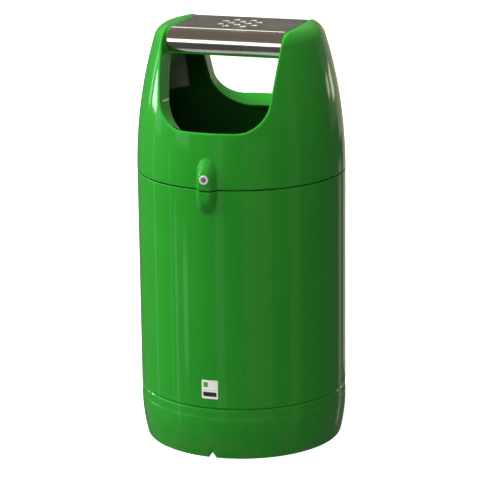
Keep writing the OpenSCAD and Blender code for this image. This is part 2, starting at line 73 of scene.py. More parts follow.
# The lock and its lug, the hinge's seat, the drain notch and the anchor pots
LUG_OUT, LUG_HALF_W, LUG_TOP, LUG_BOTTOM = 20.0, 30.0, 824.0, 671.0
LOCK_Z, LOCK_R, LOCK_HOLE_R, LOCK_BOSS_R = 769.0, 12.5, 11.1, 17.0
HINGE_HALF_W, LEAF_FACE, INNER_PAD, SEAT_LOW, SEAT_TOP = 55.0, 288.0, 268.0, 664.0, 810.0
NOTCH_HALF_W, NOTCH_H, NOTCH_FADE, NOTCH_FROM_R = 11.0, 15.5, 34.0, 225.0
POT_PLACE_R, POT_R, POT_BORE_R = 150.0, 24.0, 6.5

# The label, and its plain print: left, right, bottom and top of each patch
LABEL_Z, LABEL_HALF_W, LABEL_HALF_H, LABEL_CORNER, LABEL_T = 196.0, 22.6, 25.8, 3.2, 0.55
SWATCH = (-18.0, -4.5, 202.0, 216.5)
RULE = (-18.0, 18.5, 193.5, 195.0)
BAND = (-18.5, 19.0, 176.5, 189.0)

# Where the painted reflection inside the hood's side walls fades in, by height and by width
PAINTED_REFLECTION_Z, PAINTED_REFLECTION_X = (911.0, 922.0), (202.0, 209.0)


# ---------- finishes ----------

class Wire:
    """One output in a material. Arithmetic on it adds Math nodes."""

    def __init__(self, tree, socket=None):
        self.tree, self.socket = tree, socket

    def node(self, kind, settings=None, sockets=None, output=0):
        """Adds a node: its settings first, then the values or links of its sockets."""
        made = self.tree.nodes.new(kind)
        for name, value in (settings or {}).items():
            setattr(made, name, value)
        for name, value in (sockets or {}).items():
            self.join(made.inputs[name], value)
        return Wire(self.tree, made.outputs[output])

    def join(self, socket, value):
        """Links a wire to a socket, or sets the socket's value."""
        if isinstance(value, Wire):
            self.tree.links.new(value.socket, socket)
        elif hasattr(value, "__len__") and len(value) == 3 and socket.type == "RGBA":
            socket.default_value = (*value, 1.0)
        else:
            socket.default_value = value

    def math(self, operation, *values):
        return self.node("ShaderNodeMath", {"operation": operation}, dict(enumerate(values)))

    def __add__(self, other):
        return self.math("ADD", self, other)

    def __sub__(self, other):
        return self.math("SUBTRACT", self, other)

    def __mul__(self, other):
        return self.math("MULTIPLY", self, other)

    def __rsub__(self, other):
        return self.math("SUBTRACT", other, self)

    __radd__, __rmul__ = __add__, __mul__

    def between(self, low, high):
        """0 below low and 1 above high, smooth on the way; low may be the larger."""
        return self.node("ShaderNodeMapRange", {"interpolation_type": "SMOOTHSTEP"},
                         {"Value": self, "From Min": low, "From Max": high})

    def mix(self, a, b):
        """Colour a where this is 0 and colour b where it is 1."""
        return self.node("ShaderNodeMix", {"data_type": "RGBA"}, {0: self, 6: a, 7: b}, output=2)

    def noise(self, scale, detail=3.0, stretch=(1.0, 1.0, 1.0), rough=0.5):
        """Noise over the object's own place, as a value about 0.5."""
        place = self.node("ShaderNodeTexCoord", output=3)
        place = self.node("ShaderNodeMapping", None, {"Vector": place, "Scale": stretch})
        return self.node("ShaderNodeTexNoise", None,
                         {"Vector": place, "Scale": scale, "Detail": detail, "Roughness": rough})

    def place(self, axis):
        """The object's own X, Y or Z, in metres."""
        spot = self.node("ShaderNodeTexCoord", output=3)
        return self.node("ShaderNodeSeparateXYZ", None, {0: spot}, output="XYZ".index(axis))

    def bump(self, height, distance, strength):
        """A normal that a height bends, by a distance in metres."""
        return self.node("ShaderNodeBump", None,
                         {"Height": height, "Distance": distance, "Strength": strength})


def finish(name, build):
    """A material: build gets a Wire and returns the shader's sockets."""
    material = bpy.data.materials.new(name)
    material.use_nodes = True
    tree = material.node_tree
    shader = next(n for n in tree.nodes if n.type == "BSDF_PRINCIPLED")
    start = Wire(tree)
    for socket, value in build(start).items():
        start.join(shader.inputs[socket], value)
    return material


def moulded(colour, dark, gloss):
    """Rotationally moulded plastic: faint mottle, orange peel, scuffs, and dust low down.

    The inner faces are darkened to near black as painted shade, and the side walls over the opening's
    sill get a painted brownish-grey reflection.
    """
    def build(w):
        mottle = w.noise(9.0, 4.0)
        scuff = w.noise(55.0, 5.0, (1.0, 1.0, 0.25), 0.7).between(0.62, 0.78)
        dust = w.place("Z").between(0.16, 0.0) * w.noise(24.0, 5.0).between(0.35, 0.75)
        tone = mottle.between(0.2, 0.8).mix(dark, colour)
        x, y, facing = w.place("X"), w.place("Y"), w.node("ShaderNodeTexCoord", output=1)
        out_x, out_y = (w.node("ShaderNodeSeparateXYZ", None, {0: facing}, output=axis)
                        for axis in (0, 1))
        radius = w.math("POWER", x * x + y * y, 0.5)
        inward = w.math("DIVIDE", x * out_x + y * out_y, radius).between(-0.74, -0.90)
        # Painted shade: the inner faces are darkened to near black.
        tone = (inward * 0.80).mix(tone, (0.004, 0.012, 0.004))
        # Painted reflection: a pale brownish-grey patch with noise on the inner side walls over the
        # opening's sill.
        high = w.place("Z").between(*(edge * MM for edge in PAINTED_REFLECTION_Z))
        wide = w.math("ABSOLUTE", x).between(*(edge * MM for edge in PAINTED_REFLECTION_X))
        painted_reflection = inward * high * wide
        tone = (painted_reflection * (w.noise(30.0, 4.0) * 0.3 + 0.65)).mix(tone, (0.44, 0.44, 0.31))
        tone = (dust * 0.10).mix(tone, (0.30, 0.27, 0.21))
        peel = w.noise(420.0, 2.0) * 0.5 + w.noise(60.0, 2.0) * 0.5
        return {"Base Color": tone,
                "Roughness": w.noise(14.0) * 0.04 + scuff * 0.05 + dust * 0.15 + gloss,
                "Normal": w.bump(peel, 0.00005, 0.5),
                "IOR": 1.46}
    return build


def brushed(colour, roughness, along):
    """Steel brushed along one axis, with fine lines, smears and small scratches."""
    def build(w):
        lines = w.noise(900.0, 2.0, along)
        broad = w.noise(160.0, 3.0, along)
        smear = w.noise(11.0, 4.0).between(0.45, 0.75)
        scratch = w.noise(130.0, 2.0, (along[0] * 3, along[1] * 0.4, 1.0)).between(0.70, 0.74)
        dull, bright = [c * 0.82 for c in colour], [min(1.0, c * 1.12) for c in colour]
        tone = (broad * 0.7 + smear * 0.3).mix(dull, bright)
        return {"Base Color": tone, "Metallic": 1.0,
                "Roughness": lines * 0.05 + smear * 0.04 + scratch * 0.06 + roughness,
                "Normal": w.bump(lines * 0.8 + scratch * 0.4, 0.00004, 0.5)}
    return build


def plated(colour, roughness, tarnish, metal=1.0):
    """Plated or cast metal with blotches of tarnish; with no metal, the pale paint of the hole rims, a
    painted highlight.
    """
    def build(w):
        blotch = w.noise(70.0, 4.0).between(0.4, 0.7)
        fine = w.noise(700.0, 2.0)
        return {"Base Color": (blotch * tarnish).mix(colour, [c * 0.55 for c in colour]),
                "Metallic": metal,
                "Roughness": blotch * 0.12 + fine * 0.06 + roughness,
                "Normal": w.bump(fine, 0.00005, 0.4)}
    return build


def galvanised_build(w):
    """Zinc dipped steel with flat spangles and stains."""
    spangle = w.node("ShaderNodeTexVoronoi", {"feature": "F1"},
                     {"Vector": w.node("ShaderNodeTexCoord", output=3), "Scale": 60.0}, output=1)
    spangle = w.node("ShaderNodeSeparateColor", None, {0: spangle})
    stain = w.noise(7.0, 5.0).between(0.5, 0.8)
    tone = (spangle * 0.6 + stain * 0.4).mix((0.62, 0.64, 0.66), (0.38, 0.39, 0.40))
    return {"Base Color": tone, "Metallic": 0.9, "Roughness": spangle * 0.12 + stain * 0.15 + 0.34,
            "Normal": w.bump(spangle, 0.0001, 0.3)}


def concrete_build(w):
    """Cast concrete with patches and small pores."""
    grain, patch = w.noise(300.0, 6.0), w.noise(18.0, 5.0)
    pores = w.noise(120.0, 2.0).between(0.68, 0.75)
    tone = (patch * 0.6 + grain * 0.4).mix((0.36, 0.35, 0.33), (0.20, 0.20, 0.19))
    return {"Base Color": tone, "Roughness": grain * 0.15 + 0.78,
            "Normal": w.bump(grain - pores * 1.5, 0.0008, 0.8)}


def rubber_build(w):
    """Black rubber, dull where it is worn."""
    worn = w.noise(90.0, 4.0)
    return {"Base Color": worn.mix((0.012, 0.012, 0.013), (0.035, 0.034, 0.033)),
            "Roughness": worn * 0.2 + 0.62, "Normal": w.bump(worn, 0.0002, 0.5)}


def label_build(w):
    """White label with a plain green swatch, a thin rule and a dark band."""
    x, z = w.place("X"), w.place("Z")

    def patch(spread, edge=0.4 * MM):
        left, right, bottom, top = (side * MM for side in spread)
        across = x.between(left, left + edge) * x.between(right, right - edge)
        return across * z.between(bottom, bottom + edge) * z.between(top, top - edge)

    scuff = w.noise(160.0, 4.0).between(0.6, 0.8)
    tone = patch(SWATCH).mix((0.96, 0.97, 0.96), (0.10, 0.42, 0.06))
    tone = patch(RULE).mix(tone, (0.62, 0.50, 0.50))
    tone = patch(BAND).mix(tone, (0.030, 0.026, 0.040))
    tone = (scuff * 0.12).mix(tone, (0.45, 0.43, 0.38))
    return {"Base Color": tone, "Roughness": scuff * 0.2 + 0.30,
            "Normal": w.bump(w.noise(240.0, 2.0), 0.00005, 0.5)}


GREEN = finish("green_plastic", moulded((0.0210, 0.302, 0.0200), (0.0195, 0.284, 0.0185), 0.055))
BLACK = finish("black_plastic", moulded((0.020, 0.020, 0.021), (0.014, 0.014, 0.015), 0.30))
RUBBER = finish("rubber", rubber_build)
LABEL = finish("label_print", label_build)
STAINLESS = finish("brushed_stainless", brushed((0.44, 0.405, 0.37), 0.09, (0.02, 1.0, 1.0)))
PLUG = finish("worn_plug", plated((0.36, 0.32, 0.36), 0.28, 0.5, 0.5))
SATIN = finish("satin_chrome", plated((0.94, 0.94, 0.95), 0.16, 0.2, 0.45))
PAINTED_HIGHLIGHT_PALE = finish("painted_highlight_pale", plated((0.90, 0.92, 0.86), 0.25, 0.1, 0.0))
ZINC = finish("zinc_plate", plated((0.66, 0.65, 0.60), 0.26, 0.6))
CAST_ZINC = finish("cast_zinc", plated((0.50, 0.50, 0.51), 0.32, 0.7))
GALVANISED = finish("galvanised", galvanised_build)
CONCRETE = finish("concrete", concrete_build)


# ---------- objects and meshes ----------

def placed(name, data):
    """A new object in the scene."""
    made = bpy.data.objects.new(name, data)
    bpy.context.scene.collection.objects.link(made)
    return made


def meshed(name, work):
    """Turns a bmesh into a mesh, and frees it."""
    mesh = bpy.data.meshes.new(name)
    work.to_mesh(mesh)
    work.free()
    return mesh


def smoothed(mesh):
    """Smooth shading on every face."""
    mesh.polygons.foreach_set("use_smooth", [True] * len(mesh.polygons))
    return mesh


def mesh_of(name, points, faces):
    """A smooth mesh from points in millimetres."""
    if isinstance(faces, np.ndarray):
        faces = faces.tolist()
    mesh = bpy.data.meshes.new(name)
    mesh.from_pydata((np.asarray(points) * MM).tolist(), [], faces)
    return smoothed(mesh)


def piece(name, mesh, body, material, stands_for=()):
    """Puts a mesh in the scene as a piece of the bin that rides on a body."""
    made = placed(name, mesh)
    made.data.materials.clear()
    made.data.materials.append(material)
    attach(made, body)
    if stands_for:
        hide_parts(*stands_for)
    return made


def tidied(mesh):
    """Joins points that fall together, such as those on an axis, and faces the mesh outwards."""
    work = bmesh.new()
    work.from_mesh(mesh)
    bmesh.ops.remove_doubles(work, verts=work.verts, dist=1e-7)
    bmesh.ops.dissolve_degenerate(work, edges=work.edges, dist=1e-8)
    bmesh.ops.recalc_face_normals(work, faces=work.faces)
    work.to_mesh(mesh)
    work.free()
    return mesh


def applied(mesh, *modifiers):
    """The mesh with modifiers worked in: each is a kind and its settings."""
    holder = placed("holder", mesh)
    for kind, settings in modifiers:
        modifier = holder.modifiers.new(kind.lower(), kind)
        for key, value in settings.items():
            setattr(modifier, key, value)
    shaped = holder.evaluated_get(bpy.context.evaluated_depsgraph_get())
    result = bpy.data.meshes.new_from_object(shaped)
    bpy.data.objects.remove(holder)
    return result


def evened(made, sharp=35):
    """Shading that keeps wide faces flat next to narrow rounded edges."""
    made.data.set_sharp_from_angle(angle=math.radians(sharp))
    weighted = made.modifiers.new("weighted", "WEIGHTED_NORMAL")
    weighted.keep_sharp = True
    return made


# ---------- distances that shape the mouldings ----------

def soft_max(a, b, k):
    """The larger of two distances, with a fillet about k/2 in radius where they meet."""
    h = np.maximum(k - np.abs(a - b), 0.0)
    return np.maximum(a, b) + h * h / (4.0 * k)


def soft_min(a, b, k):
    """The smaller of two distances, with the same fillet."""
    return -soft_max(-a, -b, k)


def round_max(a, b, r):
    """Where two faces meet, a corner of radius r, which may vary from point to point."""
    a, b = a + r, b + r
    return np.minimum(np.maximum(a, b), 0) + np.hypot(np.maximum(a, 0), np.maximum(b, 0)) - r


def ramp(x, low, high):
    """0 at low and 1 at high, smooth at both ends."""
    t = np.clip((x - low) / (high - low), 0, 1)
    return t * t * (3 - 2 * t)


def block_distance(p, low, high, r):
    """Distance from a block with edges of radius r."""
    centre, half = (np.array(low) + high) / 2, (np.array(high) - low) / 2 - r
    q = np.abs(np.stack(p, -1) - centre) - half
    return np.linalg.norm(np.maximum(q, 0), axis=-1) + np.minimum(q.max(-1), 0) - r


def dome(r, z):
    """Distance from the hood's outer face, which is below 0 inside it."""
    turn = np.arctan2(z - TURN_Z, r - TURN_R)
    side = np.hypot(r - SIDE_CENTRE_R, z - SEAM_Z) - SIDE_ARC_R
    shoulder = np.hypot(r - TURN_R, z - TURN_Z) - SHOULDER_R
    return np.where((turn > LEAN) & (turn < math.pi / 2), shoulder, np.maximum(side, z - BIN_H))


def opening(x, z, depth):
    """Distance from an opening's edge, which is below 0 in the opening. It changes with depth."""
    t = np.clip(depth, -4, REVEAL_DEPTH + 12) / REVEAL_DEPTH
    rise = z - OPENING_Z
    half = OPENING_HALF + OPENING_SPLAY * rise - OPENING_BOW * np.maximum(rise, 0) ** 2 - REVEAL_INSET * t
    below = SILL_Z - SILL_DROP * t - z
    # The sides lean and the sill slopes, so their faces are nearer than the plain runs say
    beside = LEAN_SHARE * (np.abs(x) - half)
    below = np.where(below > 0, SLOPE_SHARE * below, below)
    return round_max(beside, below, CORNER_R + CORNER_GAIN * t)


def bridge(y, z):
    """Distance from the outer face of the bridge's wall, which lies below the steel plate."""
    y = np.abs(y)
    out, up = y - NOSE_C[0], z - NOSE_C[1]
    lip = np.hypot(np.maximum(y - LIP_C[0], 0), z - LIP_C[1]) - (LIP_R - PLATE_T)
    slant = out * math.sin(CREASE_TURN) + up * math.cos(CREASE_TURN) - (NOSE_R - PLATE_T)
    nose = np.hypot(out, up) - (NOSE_R - PLATE_T)
    rounded = np.arctan2(up, out) < math.pi / 2 - CREASE_TURN
    upper = np.maximum(np.where(rounded, nose, slant), z - (PLATE_TOP - PLATE_T))
    return np.where(z < NOSE_C[1], lip, upper)


def lug(x, z):
    """How far the lock's lug stands out, in millimetres."""
    middle, half = (LUG_TOP + LUG_BOTTOM) / 2, (LUG_TOP - LUG_BOTTOM) / 2
    power = np.where(z > middle, 2.5, 2.9)
    share = (np.abs(x / LUG_HALF_W) ** power + np.abs((z - middle) / half) ** power) ** (1 / power)
    flank = ((1 - share) * LUG_HALF_W - 1) * 1.6
    return soft_max(soft_min(flank, LUG_OUT, 6), 0, 1.6)


def stub_hole_places():
    """Middles of the twelve stub holes, in five rows."""
    for row, count in enumerate((2, 3, 2, 3, 2)):
        for i in range(count):
            yield (i - (count - 1) / 2) * HOLE_PITCH, (2 - row) * HOLE_ROW


def hood(x, y, z):
    """Distance from the hood moulding's surface, which is below 0 in the plastic."""
    outer = dome(np.hypot(x, y), z)
    depth = -outer
    cut = opening(x, z, depth)
    proud = np.where(y < 0, outer - lug(x, z), outer)
    seat = block_distance((x, y, z), (-HINGE_HALF_W, 250, HOOD_BOTTOM + 4),
                          (HINGE_HALF_W, LEAF_FACE, SEAT_TOP), 3)
    solid = soft_max(soft_min(proud, seat, 5), -cut, 9)

    # What is hollow: all behind the wall, but for the reveals, the lock's boss and the hinge's pad
    reveal = soft_max(cut - WALL, depth - REVEAL_DEPTH, 3)
    wall = soft_min(depth - WALL, reveal, 5)
    boss = soft_max(np.hypot(x, z - LOCK_Z) - LOCK_BOSS_R, np.abs(y + INNER_PAD) - 7, 1.5)
    pad = block_distance((x, y, z), (-HINGE_HALF_W, INNER_PAD, 752),
                         (HINGE_HALF_W, LEAF_FACE, SEAT_TOP), 1.5)
    wall = soft_min(soft_min(wall, boss, 2), pad, 2)
    made = soft_max(solid, wall, 4)

    # The bridge under the plate, which steps out flush with the plate's skin below its lip
    span = bridge(y, z)
    flush = span - PLATE_T * np.clip(LIP_END_Z - z, 0, 1)
    arch = soft_max(soft_max(flush, -(span + WALL), 3), BRIDGE_BOTTOM - z, 4)
    arch = soft_max(arch, np.abs(x) - BRIDGE_HALF, 2)
    made = soft_min(made, np.maximum(arch, outer + 3), 6)

    made = soft_max(made, HOOD_BOTTOM - z, 4)
    for hole_x, hole_y in stub_hole_places():
        hole = HOLE_R - np.hypot(x - hole_x, y - hole_y) - BIN_H * (z < HOLES_ABOVE)
        made = soft_max(made, hole, 1.5)
    lock_hole = np.where(y < -200, LOCK_HOLE_R - np.hypot(x, z - LOCK_Z), -BIN_H)
    return soft_max(made, lock_hole, 1)


# ---------- meshes from distances ----------

def net(field, low, high, cell):
    """A mesh of the surface where field is 0, with one point in each grid cell that it crosses.

    The field is worked out for x above 0 only, and mirrored.
    """
    steps = [np.arange(l, h + cell, cell) for l, h in zip(low, high)]
    steps[0] = np.arange(cell / 2, high[0] + cell, cell)
    half = np.concatenate([field(*np.meshgrid(steps[0], steps[1], steps[2][k:k + 8], indexing="ij"))
                           for k in range(0, len(steps[2]), 8)], axis=2)
    values = np.concatenate([half[::-1], half])
    steps[0] = np.concatenate([-steps[0][::-1], steps[0]])
    inside = values < 0
    corners = [(i, j, k) for i in (0, 1) for j in (0, 1) for k in (0, 1)]
    shape = [n - 1 for n in values.shape]

    def at(array, c):
        """The array as the cells see it at one of their corners."""
        return array[tuple(slice(o, o + n) for o, n in zip(c, shape))]

    count = sum(at(inside, c).astype(np.int8) for c in corners)
    cells = np.argwhere((count > 0) & (count < 8))
    index = np.full(shape, -1)
    index[tuple(cells.T)] = np.arange(len(cells))
    total, hits = np.zeros((len(cells), 3)), np.zeros(len(cells))
    for a in corners:
        for axis in range(3):
            if a[axis]:
                continue
            b = list(a)
            b[axis] = 1
            fa, fb = values[tuple((cells + a).T)], values[tuple((cells + b).T)]
            crossed = (fa < 0) != (fb < 0)
            share = np.where(crossed, fa / np.where(crossed, fa - fb, 1), 0)
            spot = np.tile(np.array(a, float), (len(cells), 1))
            spot[:, axis] = share
            total += spot * crossed[:, None]
            hits += crossed
    points = (cells + total / hits[:, None]) * cell + [step[0] for step in steps]
    faces = []
    for axis in range(3):
        # Each grid edge along this axis that crosses the surface is ringed by four cells
        u, v = (axis + 1) % 3, (axis + 2) % 3
        a = np.moveaxis(inside, axis, 0)
        change = np.moveaxis(a[:-1] != a[1:], 0, axis)
        spots = np.argwhere(change)
        spots = spots[(spots[:, u] > 0) & (spots[:, v] > 0)
                      & (spots[:, u] < shape[u]) & (spots[:, v] < shape[v])]
        ring = []
        for du, dv in ((1, 1), (0, 1), (0, 0), (1, 0)):
            cell_at = spots.copy()
            cell_at[:, u] -= du
            cell_at[:, v] -= dv
            ring.append(index[tuple(cell_at.T)])
        ring = np.stack(ring, 1)
        flip = ~inside[tuple(spots.T)]
        ring[flip] = ring[flip][:, ::-1]
        faces.append(ring)
    return points, np.concatenate(faces)


def slope(field, points, e=0.02):
    """The field's slope at each point."""
    steps = np.eye(3) * e
    return np.stack([(field(*(points + s).T) - field(*(points - s).T)) / (2 * e) for s in steps], 1)


def settle(field, points, rounds, most):
    """Moves points onto the surface where field is 0, straight along its slope."""
    for _ in range(rounds):
        g = slope(field, points)
        step = g * (field(*points.T) / np.maximum((g * g).sum(1), 0.05))[:, None]
        size = np.linalg.norm(step, axis=1)
        points = points - step * np.minimum(1, most / np.maximum(size, 1e-9))[:, None]
    return points


def moulding(name, field, low, high, cell, keep):
    """A mesh of a field, thinned to a share of its faces, exact in place and in shading."""
    points, faces = net(field, low, high, cell)
    points = settle(field, points, 2, cell / 2)
    mesh = applied(mesh_of(name, points, faces), ("DECIMATE", {"ratio": keep}))
    flat = np.empty(len(mesh.vertices) * 3)
    mesh.vertices.foreach_get("co", flat)
    points = settle(field, flat.reshape(-1, 3) / MM, 2, 0.6)
    mesh.vertices.foreach_set("co", (points * MM).ravel())
    normals = slope(field, points)
    normals /= np.maximum(np.linalg.norm(normals, axis=1), 1e-9)[:, None]
    smoothed(mesh).normals_split_custom_set_from_vertices(normals.tolist())
    mesh.update()
    return mesh


# ---------- outlines and turned solids ----------

def grid_faces(rows, columns):
    """Quads over rows of points, each row going round once."""
    return [(j * columns + i, j * columns + (i + 1) % columns,
             (j + 1) * columns + (i + 1) % columns, (j + 1) * columns + i)
            for j in range(rows - 1) for i in range(columns)]


def bend(centre, radius, start, stop, count):
    """Points of an arc in degrees, in r and z."""
    return [(centre[0] + radius * math.cos(a), centre[1] + radius * math.sin(a))
            for a in np.radians(np.linspace(start, stop, count))]


def run(start, stop, count):
    """Points between two ends, both left out."""
    return [tuple(p) for p in np.linspace(start, stop, count + 2)[1:-1]]


def full_turn(count):
    """Angles all the way round, in equal steps."""
    return list(np.linspace(0, 2 * math.pi, count + 1)[:-1])


def turned(name, profile, angles, shape=None):
    """A closed profile of (r, z) taken round the axis. shape moves the points, given r, angle and z."""
    r, z = np.array(profile).T
    radius, angle = np.meshgrid(r, angles, indexing="ij")
    height = np.repeat(z[:, None], len(angles), 1)
    if shape:
        radius, height = shape(radius, angle, height)
    points = np.stack([radius * np.sin(angle), -radius * np.cos(angle), height], -1).reshape(-1, 3)
    count, around = len(profile), len(angles)
    faces = grid_faces(count, around)
    if profile[0][0] > 0:
        start = (count - 1) * around
        faces += [(start + i, start + (i + 1) % around, (i + 1) % around, i) for i in range(around)]
    return tidied(mesh_of(name, points, faces))


def copies(name, profile, count, places):
    """A profile taken round the axis and repeated at each of the places, as one mesh."""
    work = bmesh.new()
    for place in places:
        one = turned("one", profile, full_turn(count))
        one.transform(place)
        work.from_mesh(one)
        bpy.data.meshes.remove(one)
    return meshed(name, work)


# ---------- the green mouldings ----------

CELL, KEEP = 2.8, 0.42
low_corner, high_corner = (0, -306, HOOD_BOTTOM - 4), (286, 296, BIN_H + 4)
hood_mesh = moulding("hood_moulding", hood, low_corner, high_corner, CELL, KEEP)
piece("hood_moulding", hood_mesh, "hood", GREEN, ("hood_shell",))

# Angles round the bin, from the front towards +X, closer together at the lug and the hinge
front_fine = [math.asin(x / BIN_R) for x in np.arange(-LUG_HALF_W - 3, LUG_HALF_W + 4, 1.5)]
seat_edge = [math.asin(x / BIN_R) for x in np.arange(HINGE_HALF_W - 9, HINGE_HALF_W + 9, 1.25)]
seat = [math.pi + side * a for side in (-1, 1) for a in seat_edge]
seat += list(np.linspace(math.pi - seat_edge[0], math.pi + seat_edge[0], 15))
sides = list(np.linspace(front_fine[-1], math.pi - seat_edge[-1], 66))
sides += list(np.linspace(math.pi + seat_edge[-1], 2 * math.pi + front_fine[0], 66)[:-1])
round_angles = sorted({round(a, 5) for a in front_fine + seat + sides})


def body_relief(radius, angle, height):
    """The lug's lower half and the hinge's seat, raised from the body's wall."""
    x = BIN_R * np.sin(angle)
    front = np.cos(angle) > 0
    outer = radius > BIN_R - 3
    out = np.where(front & outer, lug(x, height), 0)
    back_face = LEAF_FACE / np.maximum(-np.cos(angle), 0.5) - BIN_R
    tall = ramp(height, SEAT_LOW, SEAT_LOW + 5) * ramp(BODY_TOP - height, 0, 5)
    out = np.where(~front & outer, back_face * ramp(HINGE_HALF_W - np.abs(x), -2.5, 2.5) * tall, out)
    return radius + out * ramp(radius, BIN_R - 3, BIN_R - 0.4), height


body_profile = (
    [(0, BASE_H + 0.1), (100, BASE_H + 0.1), (BIN_R - 8, BASE_H + 0.1)]
    + bend((BIN_R - GROOVE - 1, BASE_H + 1.4), 1, 270, 315, 4)
    + bend((BIN_R - 2, BASE_H + GROOVE + 2.6), 2, 315, 360, 5)
    + run((BIN_R, BASE_H + 8), (BIN_R, 662), 14)
    + run((BIN_R, 661), (BIN_R, BODY_TOP - 3), 50)
    + bend((BIN_R - 2.2, BODY_TOP - 2.2), 2.2, 0, 90, 7)
    + bend((BIN_R - WALL + 1, BODY_TOP - 1), 1, 90, 180, 4)
    + run((BIN_R - WALL, BODY_TOP - 4), (BIN_R - WALL, BASE_H + FLOOR_T + 12), 12)
    + bend((BIN_R - WALL - 9, BASE_H + FLOOR_T + 9), 9, 0, -90, 6)
    + [(200, BASE_H + FLOOR_T), (100, BASE_H + FLOOR_T), (0, BASE_H + FLOOR_T)])
body = turned("body_moulding", body_profile, round_angles, body_relief)
evened(piece("body_moulding", body, "bin_body", GREEN, ("body_shell",)))


def notch(radius, angle, height):
    """The drain notch in the front of the rim: the rim's foot rises over it."""
    across = np.abs(radius * np.sin(angle)) / NOTCH_HALF_W
    front = (np.cos(angle) > 0) & (radius > NOTCH_FROM_R)
    lift = np.where(front, NOTCH_H * np.clip(1 - across, 0, 1) ** 0.9, 0)
    return radius, height + lift * np.clip(1 - height / NOTCH_FADE, 0, 1)


# The foot's long arc runs from the crease down to the rim. The angles are closer together at the notch.
foot_r = (CREASE_Z ** 2 + (BIN_R - FOOT_R) ** 2) / (2 * (BIN_R - FOOT_R))
foot_stop = -math.degrees(math.asin((CREASE_Z - 3) / foot_r))
foot = bend((BIN_R - foot_r, CREASE_Z), foot_r, -0.4, foot_stop, 26)
inner_foot = bend((BIN_R - foot_r, CREASE_Z), foot_r - 8, foot_stop, -0.4, 14)
notch_fine = [math.asin(x / 270) for x in np.arange(-NOTCH_HALF_W - 5, NOTCH_HALF_W + 6, 1.0)]
rest_of_turn = list(np.linspace(notch_fine[-1], 2 * math.pi - notch_fine[-1], 150)[1:-1])
base_angles = sorted({round(a, 5) for a in notch_fine + rest_of_turn})
base_profile = (
    [(0, BASE_H - 0.1), (100, BASE_H - 0.1), (BIN_R - 8, BASE_H - 0.1)]
    + bend((BIN_R - GROOVE - 1, BASE_H - 1.2), 1, 90, 45, 4)
    + bend((BIN_R - 2.8, BASE_H - GROOVE - 2.6), 2, 45, 0, 5)
    + run((BIN_R - 0.8, BASE_H - 8), (BIN_R - 0.8, CREASE_Z + 3.6), 4)
    + [(BIN_R - 0.8, CREASE_Z + 3.0), (BIN_R - 0.75, CREASE_Z + 2.2), (BIN_R - 0.45, CREASE_Z + 1.4),
       (BIN_R - 0.1, CREASE_Z + 0.7)]
    + foot + [(foot[-1][0] - 1.0, 0.8), (foot[-1][0] - 3, 0), (foot[-1][0] - 6, 0)]
    + inner_foot + [(BIN_R - 8, CREASE_Z + 5)]
    + bend((BIN_R - 20, BASE_H - 22), 12, 0, 90, 6)
    + [(100, BASE_H - 10), (0, BASE_H - 10)])
base = turned("base_moulding", base_profile, base_angles, notch)
base = piece("base_moulding", base, "bin_body", GREEN, ("base_plinth",))
evened(base, 50)

pot_profile = (
    [(POT_BORE_R, 0), (POT_R - 2, 0)] + bend((POT_R - 2, 2), 2, 270, 360, 4)
    + [(POT_R, 60), (POT_R, BASE_H - 9), (16, BASE_H - 9), (16, 14)]
    + bend((14, 14), 2, 0, -90, 4) + [(POT_BORE_R, 12)])
pot_places = [Matrix.Rotation(math.radians(45 + 90 * quarter), 4, "Z")
              @ Matrix.Translation((POT_PLACE_R * MM, 0, 0)) for quarter in range(4)]
pots = copies("anchor_pots", pot_profile, 32, pot_places)
evened(piece("anchor_pots", pots, "bin_body", GREEN))


# ---------- the steel plate ----------

def plate_side(depth):
    """One side of the plate's section, in y and z, a depth below its outer face."""
    back, slant = BEND_R * math.tan(CREASE_TURN / 2), 90 - math.degrees(CREASE_TURN)
    crease = bend((PLATE_FLAT - back, PLATE_TOP - BEND_R), BEND_R - depth, 90, slant, 7)
    nose = bend(NOSE_C, NOSE_R - depth, slant, 0, 26)
    lip = bend(LIP_C, LIP_R - depth, 0, -math.degrees(LIP_TURN), 10)[1:]
    return crease + run(crease[-1], nose[0], 3) + nose + lip


def plate_mesh():
    """The bent plate without its holes: the section drawn out along X, with both ends closed."""
    outer, inner = plate_side(0), plate_side(PLATE_T)
    middle = run((-PLATE_FLAT, PLATE_TOP), (PLATE_FLAT, PLATE_TOP), 1)
    section = ([(-y, z) for y, z in outer[::-1]] + middle + outer
               + inner[::-1] + [(-y, z) for y, z in inner])
    work = bmesh.new()
    ends = [[work.verts.new((x * MM, y * MM, z * MM)) for y, z in section]
            for x in (-PLATE_HALF, PLATE_HALF)]
    for i in range(len(section)):
        j = (i + 1) % len(section)
        work.faces.new((ends[0][i], ends[1][i], ends[1][j], ends[0][j]))
    count = len(outer)
    for side in ends:
        upper, lower = side[:2 * count + 1], side[2 * count + 1:][::-1]
        front = list(zip(upper[:count], lower[:count]))
        back = list(zip(upper[count + 1:], lower[count:]))
        for half in (front, back):
            for (a, b), (c, d) in zip(half, half[1:]):
                work.faces.new((a, c, d, b))
        (a, b), (c, d) = front[-1], back[0]
        work.faces.new((a, upper[count], c, d, b))
    bmesh.ops.recalc_face_normals(work, faces=work.faces)
    return meshed("stubber_plate_skin", work)


def punches():
    """The twelve punches that cut the plate's stub holes."""
    work = bmesh.new()
    ring = [(HOLE_R * math.cos(a), HOLE_R * math.sin(a)) for a in full_turn(48)]
    for x, y in stub_hole_places():
        low, high = ([work.verts.new(((x + across) * MM, (y + along) * MM, z * MM))
                      for across, along in ring] for z in (PLATE_TOP - 12, PLATE_TOP + 12))
        for i in range(len(ring)):
            j = (i + 1) % len(ring)
            work.faces.new((low[i], low[j], high[j], high[i]))
        work.faces.new(low[::-1])
        work.faces.new(high)
    return placed("punches", meshed("punches", work))


